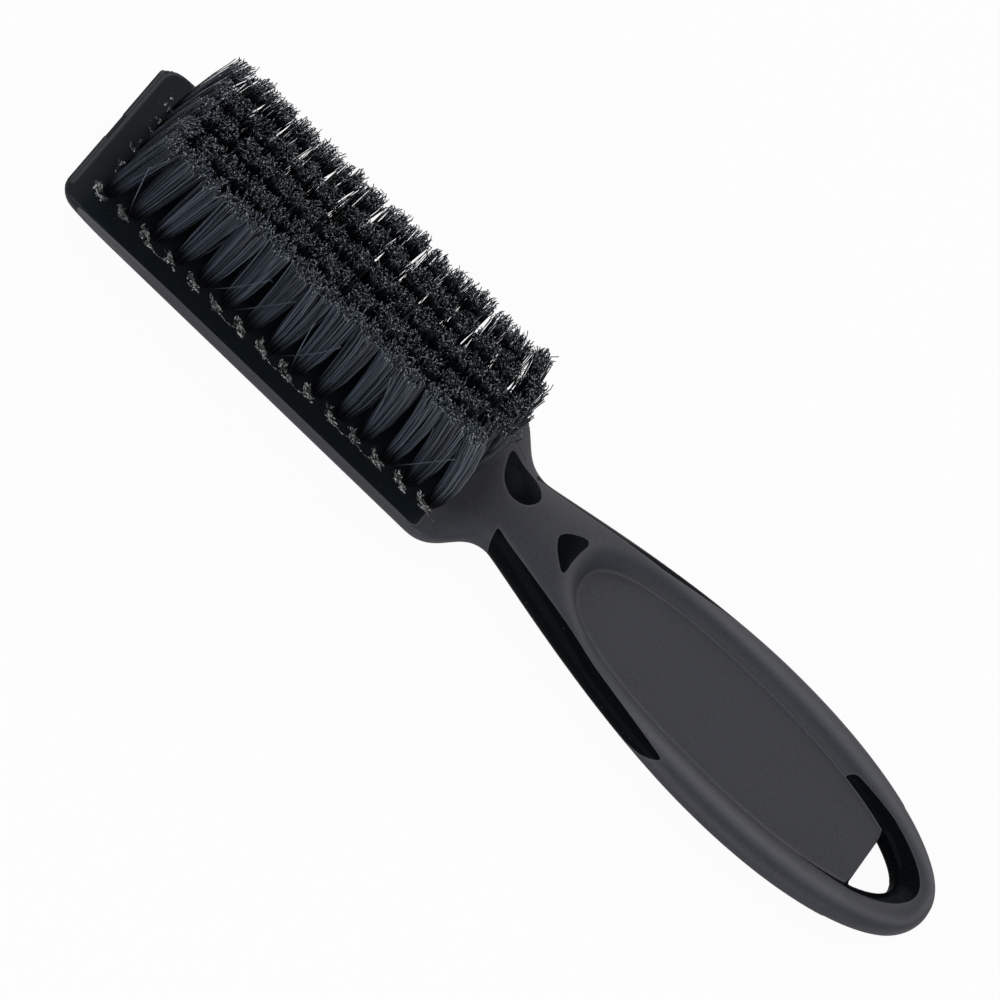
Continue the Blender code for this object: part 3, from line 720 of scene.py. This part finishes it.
def make_tuft_row(column, material):
    """Five tufts of folded nylon filaments across the head."""
    chance = np.random.default_rng(SEED + column)
    paths, shades, pale = zip(*row_strands(column, chance))
    rings = len(FILAMENT_SHARES)
    each = rings * FILAMENT_SIDES
    points = [tube(path, FILAMENT_WIDTH * chance.uniform(*WIDTH_SHARES)) for path in paths]
    faces = [face for number in range(len(paths)) for face in tube_faces(rings, number * each)]
    # pale marks the filaments whose tips get the painted sparkle
    tips = np.outer(pale, np.repeat(FILAMENT_TIP_SPARKLE, FILAMENT_SIDES)).ravel()
    return make_object(f"bristle_row_{column + 1:02}", np.concatenate(points), faces, material,
                       attributes={"strand_shade": np.repeat(shades, each), "strand_tip_sparkle": tips})


# ---------------------------------------------------------------- scraps of plastic round the holes

def flake(place, turn, size, chance):
    """Points of an irregular closed sliver: a ring with a point above and below."""
    angles = np.arange(FLAKE_SIDES) * 2 * math.pi / FLAKE_SIDES
    ring = np.stack([np.cos(angles), np.sin(angles), chance.normal(0, FLAKE_TWIST, FLAKE_SIDES)], axis=1)
    ring *= chance.uniform(*FLAKE_SHARES, (FLAKE_SIDES, 1))
    peaks = [[chance.normal(0, FLAKE_PEAK), 0, 1], [0, 0, -1]]
    points = np.concatenate([ring, peaks]) * np.array(size) / 2
    turned = np.array([[math.cos(turn), math.sin(turn), 0], [-math.sin(turn), math.cos(turn), 0], [0, 0, 1]])
    return points @ turned + place


def flake_faces(first):
    """Triangles of a flake whose points start at number first."""
    top, bottom = first + FLAKE_SIDES, first + FLAKE_SIDES + 1
    faces = []
    for side in range(FLAKE_SIDES):
        here, following = first + side, first + (side + 1) % FLAKE_SIDES
        faces += [(here, following, top), (following, here, bottom)]
    return faces


def hole_scraps(x, y, scraps, chance):
    """Slivers along part of the rim of the hole at x, y."""
    start, end, count = scraps
    slivers = []
    for _ in range(count):
        angle = math.radians(chance.uniform(start, end))
        reach = chance.uniform(*SCRAP_REACH)
        place = [x + reach * math.cos(angle), y + reach * math.sin(angle),
                 FACE_HEIGHT + chance.uniform(0, SCRAP_RISE)]
        size = [chance.uniform(*limits) for limits in SCRAP_SIZE]
        slivers.append(flake(place, angle + math.pi / 2 + chance.normal(0, SCRAP_TURN), size, chance))
    return slivers


def ribbon(x, chance):
    """A torn ribbon of small flakes beside the near hole at x."""
    slivers = []
    for along in np.arange(0, RIBBON_LENGTH, RIBBON_STEP):
        place = (x + along + RIBBON_START,
                 NEAR_ROW + RIBBON_SIDE + RIBBON_WAVE * math.sin(along * RIBBON_WAVES),
                 FACE_HEIGHT + RIBBON_RISE)
        slivers.append(flake(place, chance.normal(0, RIBBON_TURN), RIBBON_SIZE, chance))
    return slivers


def make_scraps(material):
    """Drilling left torn plastic on the near side of the outer holes and at the head's end."""
    chance = np.random.default_rng(SEED)
    slivers = []
    for column in range(COLUMNS):
        x = FIRST_COLUMN + column * COLUMN_PITCH
        slivers += hole_scraps(x + SCRAP_SHIFT, NEAR_ROW, NEAR_SCRAPS, chance)
        if chance.uniform(0, 1) < RIBBON_SHARE:
            slivers += ribbon(x, chance)
    for row in range(1, ROWS):
        slivers += hole_scraps(FIRST_COLUMN, NEAR_ROW + row * ROW_PITCH, END_SCRAPS, chance)
    each = FLAKE_SIDES + 2
    faces = [face for number in range(len(slivers)) for face in flake_faces(number * each)]
    shades = np.repeat(chance.uniform(0, 1, len(slivers)), each)
    return make_object("hole_scraps", np.concatenate(slivers), faces, material, smooth=False,
                       attributes={"sliver_shade": shades})


# ---------------------------------------------------------------- materials

class Signal:
    """A node's output socket that takes part in plain arithmetic."""

    def __init__(self, look, socket):
        self.look, self.socket = look, socket

    def _math(self, operation, *values):
        return self.look.node("ShaderNodeMath", {"operation": operation}, *values)

    def __add__(self, other):
        return self._math("ADD", self, other)

    def __sub__(self, other):
        return self._math("SUBTRACT", self, other)

    def __rsub__(self, other):
        return self._math("SUBTRACT", other, self)

    def __mul__(self, other):
        return self._math("MULTIPLY", self, other)

    def __truediv__(self, other):
        return self._math("DIVIDE", self, other)

    def __rtruediv__(self, other):
        return self._math("DIVIDE", other, self)

    def __pow__(self, other):
        return self._math("POWER", self, other)

    def __abs__(self):
        return self._math("ABSOLUTE", self)

    __radd__ = __add__
    __rmul__ = __mul__

    def above(self, start, end):
        """0 below start, 1 above end and smooth between."""
        smooth = {"interpolation_type": "SMOOTHSTEP"}
        return self.look.node("ShaderNodeMapRange", smooth, self, start, end, 0.0, 1.0)


class Look:
    """The shader nodes of a material or a world under construction."""

    def __init__(self, name, kind="materials"):
        self.owner = getattr(bpy.data, kind).new(name)
        self.owner.use_nodes = True
        self.tree = self.owner.node_tree
        self.tree.nodes.clear()

    def node(self, kind, settings=None, *values, output=0, **named):
        """Add a node, set its settings first and then its sockets, and give its output."""
        node = self.tree.nodes.new(kind)
        for key, value in (settings or {}).items():
            setattr(node, key, value)
        for socket, value in zip(node.inputs, values):
            self.put(socket, value)
        for key, value in named.items():
            self.put(node.inputs[key], value)
        return None if output is None else Signal(self, node.outputs[output])

    def put(self, socket, value):
        """Link a signal to a socket, or set the socket to a constant; None leaves it as it is."""
        if isinstance(value, Signal):
            self.tree.links.new(value.socket, socket)
        elif value is not None:
            socket.default_value = value

    def place(self):
        """Place on the brush in metres."""
        return self.node("ShaderNodeTexCoord", output="Object")

    def axis(self, name):
        """X, Y or Z of that place."""
        return self.node("ShaderNodeSeparateXYZ", None, self.place(), output=name)

    def on_head(self):
        """1 on the head and 0 on the handle."""
        return 1.0 - self.axis("X").above(FACE_END * MM, (FACE_END + HEAD_LOOK_FADE) * MM)

    def camera_ray(self):
        """1 for what the camera sees itself, 0 for light that reaches other surfaces."""
        return self.node("ShaderNodeLightPath", output="Is Camera Ray")

    def noise(self, scale, detail=3.0, roughness=0.5, at=None):
        """Cloudy noise from 0 to 1, with the scale counted in each metre."""
        return self.node("ShaderNodeTexNoise", None, Vector=at or self.place(), Scale=scale, Detail=detail,
                         Roughness=roughness)

    def attribute(self, name):
        """Number that the mesh holds for each of its points."""
        return self.node("ShaderNodeAttribute", {"attribute_name": name}, output="Fac")

    def blend(self, share, first, second):
        """Mix two colours by a share."""
        first, second = ((*colour, 1) if isinstance(colour, tuple) else colour for colour in (first, second))
        unused = [None] * 5  # the node's sockets for numbers and vectors
        return self.node("ShaderNodeMix", {"data_type": "RGBA"}, share, *unused, first, second, output=2)

    def bump(self, height, distance, strength=1.0):
        """Normal of a relief whose full height is the distance."""
        return self.node("ShaderNodeBump", None, Strength=strength, Distance=distance, Height=height)

    def principled(self, **sockets):
        """Plain surface shader; its sockets are named with _ for a space."""
        named = {key.replace("_", " "): value for key, value in sockets.items()}
        return self.node("ShaderNodeBsdfPrincipled", None, **named)

    def finish(self, surface, output="ShaderNodeOutputMaterial"):
        """Link the surface to the output and give the finished material or world."""
        self.node(output, None, surface, output=None)
        return self.owner


def gloss_plastic():
    """Black moulded plastic with faint flow marks, fine scratches, a little dust and a painted sheen on the
    head.
    """
    # The face colour is painted paler than the windows, as a sheen of reflected light
    windows, face, dust_grey = (0.002, 0.003, 0.004), (0.0095, 0.0135, 0.017), (0.12, 0.12, 0.12)
    look = Look("Gloss black plastic")
    cloud = look.noise(90.0, 4.0)
    along = look.node("ShaderNodeMapping", {"vector_type": "POINT"}, look.place(),
                      Scale=(200.0, 4000.0, 4000.0))
    scratch = look.noise(1.0, 2.0, at=along).above(0.62, 0.75)
    dust = look.noise(2600.0, 1.0).above(0.74, 0.8)
    head = look.on_head()  # painted sheen: the head's face and end get a paler colour in place of reflected light
    colour = look.blend(head, windows, face)
    colour = look.blend(dust * 0.4, colour, dust_grey)
    ripple = look.noise(260.0, 2.0)
    roughness = 0.14 + cloud * 0.12 + scratch * 0.12 + dust * 0.4
    surface = look.principled(Base_Color=colour, Roughness=roughness, Specular_IOR_Level=0.03,
                              Coat_Weight=head * 0.35, Coat_Roughness=0.2,
                              Normal=look.bump(ripple, 0.02 * MM, 0.5))
    return look.finish(surface)


def torn_plastic():
    """The same plastic where drilling tore it: slivers from black to nearly white."""
    black, pale = (0.012, 0.013, 0.014), (0.8, 0.82, 0.82)
    look = Look("Torn black plastic")
    shade = look.attribute("sliver_shade")
    crumb = look.noise(3500.0, 3.0).above(0.4, 0.65)
    surface = look.principled(Base_Color=look.blend(shade * crumb, black, pale),
                              Roughness=0.2 + crumb * 0.25, Specular_IOR_Level=0.5,
                              Normal=look.bump(crumb, 0.05 * MM, 0.6))
    return look.finish(surface)


def foot_highlight(look):
    """1 along the recess's foot and 0 a little way off it, as a sharp line of painted highlight."""
    half_length, half_breadth = OVAL_HALF
    along = (look.axis("X") - OVAL_MIDDLE * MM) / (half_length * MM)
    across = abs(look.axis("Y") / (half_breadth * MM))
    roundness = OVAL_START_ROUNDNESS - (OVAL_START_ROUNDNESS - 2) * along.above(0.0, 0.001)
    along = abs(along)
    size = (along ** roundness + across ** roundness) ** (1.0 / roundness)
    steepness = ((along / half_length) ** 2.0 + (across / half_breadth) ** 2.0) ** 0.5
    return 1.0 - abs((size - 1.0) / steepness).above(*FOOT_HIGHLIGHT)


def soft_rubber():
    """Matte soft-touch rubber with a fine grain, faint smears and specks, painted highlights along the
    recess's ridge and foot, and painted shine along its parting lines.
    """
    dark, smeared, grain_grey = (0.0245, 0.026, 0.0345), (0.030, 0.0315, 0.041), (0.053, 0.055, 0.068)
    # painted highlights: a paler band along the ridge round the recess and a pale line at its foot
    crest_highlight, foot_highlight_grey = (0.125, 0.127, 0.145), (0.09, 0.092, 0.105)
    edge_grey, speck_grey = (0.1, 0.1, 0.11), (0.2, 0.2, 0.2)
    look = Look("Soft dark grey rubber")
    smear = look.noise(60.0, 5.0, 0.6).above(0.35, 0.75)
    grain = look.noise(5200.0, 3.0, 0.6)
    speck = look.noise(3000.0, 1.0).above(0.73, 0.8)
    edge = 1.0 - look.attribute("parting").above(0.0, EDGE_SHINE)
    colour = look.blend(smear, dark, smeared)
    colour = look.blend(grain.above(0.35, 0.7) * 0.75, colour, grain_grey)
    # painted highlight: paler rubber along the ridge round the recess, where the light catches it
    colour = look.blend(look.attribute("crest") * 0.8, colour, crest_highlight)
    # painted highlight: a pale line along the recess's foot
    colour = look.blend(foot_highlight(look) * 0.5, colour, foot_highlight_grey)
    colour = look.blend(edge * (0.2 + look.on_head() * 0.5), colour, edge_grey)
    colour = look.blend(speck * 0.25, colour, speck_grey)
    surface = look.principled(Base_Color=colour, Roughness=0.42 + smear * 0.08 + grain * 0.08,
                              Specular_IOR_Level=0.4,
                              Normal=look.bump(grain - edge * 1.5, 0.04 * MM, 0.7))
    return look.finish(surface)


def nylon():
    """Black nylon filament: bluish in the light, with painted shade towards its root and a painted sparkle at
    its curled tip.
    """
    dark, lit, streak_grey = (0.011, 0.0165, 0.023), (0.108, 0.14, 0.185), (0.05, 0.056, 0.065)
    root_painted_shade, tip_sparkle_grey = (0.003, 0.0035, 0.0045), (0.4, 0.43, 0.46)
    look = Look("Black nylon filament")
    shade = look.attribute("strand_shade")
    # painted shade: filaments darken towards their roots, where the tufts shade them
    root = 1.0 - look.axis("Z").above(*((FACE_HEIGHT + height) * MM for height in ROOT_SHADE_HEIGHTS))
    streak = look.noise(1800.0, 2.0)
    sparkle = look.noise(2600.0, 2.0).above(0.52, 0.62)
    colour = look.blend(shade * shade, dark, lit)
    colour = look.blend(streak * 0.3, colour, streak_grey)
    colour = look.blend(root, colour, root_painted_shade)
    # painted highlight: pale sparkle on the curled tips
    colour = look.blend(look.attribute("strand_tip_sparkle") * sparkle, colour, tip_sparkle_grey)
    surface = look.principled(Base_Color=colour, Roughness=0.24 + shade * 0.16, Specular_IOR_Level=0.5)
    return look.finish(surface)


# ---------------------------------------------------------------- stage

def make_floor():
    """Matte floor with the faintest clouds, nearly plain white to the camera."""
    look = Look("Pale studio floor")
    tint = look.blend(look.noise(3.0, 2.0), (0.9, 0.9, 0.9), (0.93, 0.93, 0.93))
    matte = look.principled(Base_Color=tint, Roughness=0.9, Specular_IOR_Level=0.1)
    glow = look.node("ShaderNodeEmission", None, WHITE, 1.0)
    seen = look.node("ShaderNodeMixShader", None, look.camera_ray() * FLOOR_GLOW, matte, glow)
    material = look.finish(seen)
    corners = np.array([(-1, -1, 0), (1, -1, 0), (1, 1, 0), (-1, 1, 0)]) * FLOOR_HALF
    floor = make_object("studio_floor", corners / MM, [(0, 1, 2, 3)], material, smooth=False)
    floor.location.z = -FLOOR_GAP


def make_light(name, place, target, size, power):
    """Soft rectangular light that faces its target."""
    lamp = bpy.data.lights.new(name, "AREA")
    lamp.shape = "RECTANGLE"
    lamp.size, lamp.size_y = size
    lamp.energy = power
    obj = bpy.data.objects.new(name, lamp)
    bpy.context.scene.collection.objects.link(obj)
    obj.location = place
    obj.rotation_euler = (Vector(target) - Vector(place)).to_track_quat("-Z", "Y").to_euler()


def make_world():
    """Plain white to the camera and an even, softer light on everything."""
    look = Look("Studio", "worlds")
    light = look.node("ShaderNodeBackground", None, WHITE, SKY_LEVEL)
    white = look.node("ShaderNodeBackground", None, WHITE, 1.0)
    mixed = look.node("ShaderNodeMixShader", None, look.camera_ray(), light, white)
    bpy.context.scene.world = look.finish(mixed, "ShaderNodeOutputWorld")


def make_camera():
    """Long lens that looks down on the brush from its near side, rolled so that the brush lies aslant."""
    data = bpy.data.cameras.new("Camera")
    data.lens = CAMERA_LENS
    data.sensor_width = CAMERA_SENSOR
    data.clip_start = CAMERA_CLIP
    camera = bpy.data.objects.new("Camera", data)
    bpy.context.scene.collection.objects.link(camera)
    level = math.cos(CAMERA_ELEVATION)
    back = Vector((math.sin(CAMERA_AZIMUTH) * level, -math.cos(CAMERA_AZIMUTH) * level,
                   math.sin(CAMERA_ELEVATION)))
    turned = back.to_track_quat("Z", "Y").to_matrix() @ Matrix.Rotation(CAMERA_ROLL, 3, "Z")
    camera.matrix_world = Matrix.Translation(CAMERA_TARGET + back * CAMERA_DISTANCE) @ turned.to_4x4()
    bpy.context.scene.camera = camera


# ---------------------------------------------------------------- making

body, grip = make_moulding(gloss_plastic(), soft_rubber())
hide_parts("body")
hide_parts("grip")
bristle = nylon()
tufts = [make_tuft_row(column, bristle) for column in range(COLUMNS)]
for number, tuft in enumerate(tufts, start=1):
    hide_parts(f"tuft_row_{number:02}")
scraps = make_scraps(torn_plastic())
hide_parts("body")
for piece in [body, grip, *tufts, scraps]:
    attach(piece, "root")

make_floor()
make_world()
for softbox in SOFTBOXES:
    make_light(*softbox)
make_camera()
bpy.context.scene.view_settings.view_transform = "Standard"
